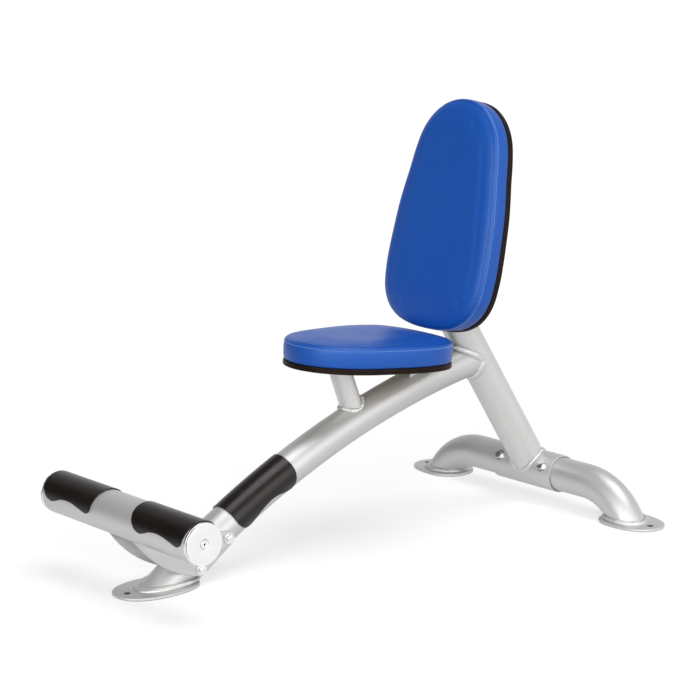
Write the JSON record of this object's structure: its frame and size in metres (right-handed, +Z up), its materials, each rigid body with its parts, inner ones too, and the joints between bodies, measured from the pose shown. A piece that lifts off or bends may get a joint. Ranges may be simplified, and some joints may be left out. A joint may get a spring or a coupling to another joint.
{
  "type": "utility bench",
  "caption": "Fixed upright exercise bench: padded seat and back rest on an arched tube spine, with a round gripped footrest bar in front and splayed rear legs.",
  "frame": {"origin": "on the floor under the middle of the bench's overall box", "axes": "+Z up, +X towards the sitter's left, -Y towards the footrest that the sitter faces"},
  "size_m": [0.8028, 1.2994, 0.9706],
  "materials": {
    "silver_coat": "satin silver-grey metallic powder coat on welded steel tube and plate",
    "weld_silver": "coated weld bead, slightly rippled and brighter than the tube",
    "blue_vinyl": "royal blue upholstery vinyl, fine grain, semi-matte",
    "black_rubber": "moulded black-brown rubber, satin",
    "edge_trim": "moulded black edge trim, low sheen",
    "plywood": "birch plywood backing board, unfinished",
    "polished_aluminium": "polished turned end cap",
    "zinc": "bright zinc plated fastener"
  },
  "bodies": {
    "root": {"front_foot_plate": "silver_coat", "rear_foot_plate_left": "silver_coat", "rear_foot_plate_right": "silver_coat", "spine_tube": "silver_coat", "upright_tube": "silver_coat", "rear_sleeve": "silver_coat", "rear_leg_left": "silver_coat", "rear_leg_right": "silver_coat", "weld_spine_foot": "weld_silver", "weld_spine_upright": "weld_silver", "weld_upright_foot": "weld_silver", "weld_leg_foot_left": "weld_silver", "weld_leg_foot_right": "weld_silver", "weld_seat_post": "weld_silver", "footrest_tube": "silver_coat", "footrest_flange_left": "silver_coat", "footrest_flange_right": "silver_coat", "footrest_cap_left": "polished_aluminium", "footrest_cap_right": "polished_aluminium", "footrest_cap_screw_left": "zinc", "footrest_cap_screw_right": "zinc", "footrest_grip_left": "black_rubber", "footrest_grip_right": "black_rubber", "spine_grip": "black_rubber", "footrest_bolt_upper": "zinc", "footrest_bolt_lower": "zinc", "footrest_nut_upper": "zinc", "footrest_nut_lower": "zinc", "footrest_washer_upper_head": "zinc", "footrest_washer_upper_nut": "zinc", "footrest_washer_lower_head": "zinc", "footrest_washer_lower_nut": "zinc", "sleeve_bolt_left": "zinc", "sleeve_bolt_right": "zinc", "sleeve_washer_left": "zinc", "sleeve_washer_right": "zinc", "seat_post": "silver_coat", "seat_front_plate": "silver_coat", "seat_rear_bracket": "silver_coat", "seat_board": "plywood", "seat_edge_trim": "edge_trim", "seat_pad": "blue_vinyl", "seat_bolt_1": "zinc", "seat_bolt_2": "zinc", "seat_bolt_3": "zinc", "seat_bolt_4": "zinc", "back_channel": "silver_coat", "back_board": "plywood", "back_edge_trim": "edge_trim", "back_pad": "blue_vinyl", "back_bolt_1": "zinc", "back_bolt_2": "zinc", "back_bolt_3": "zinc", "back_bolt_4": "zinc"}
  },
  "joints": []
}
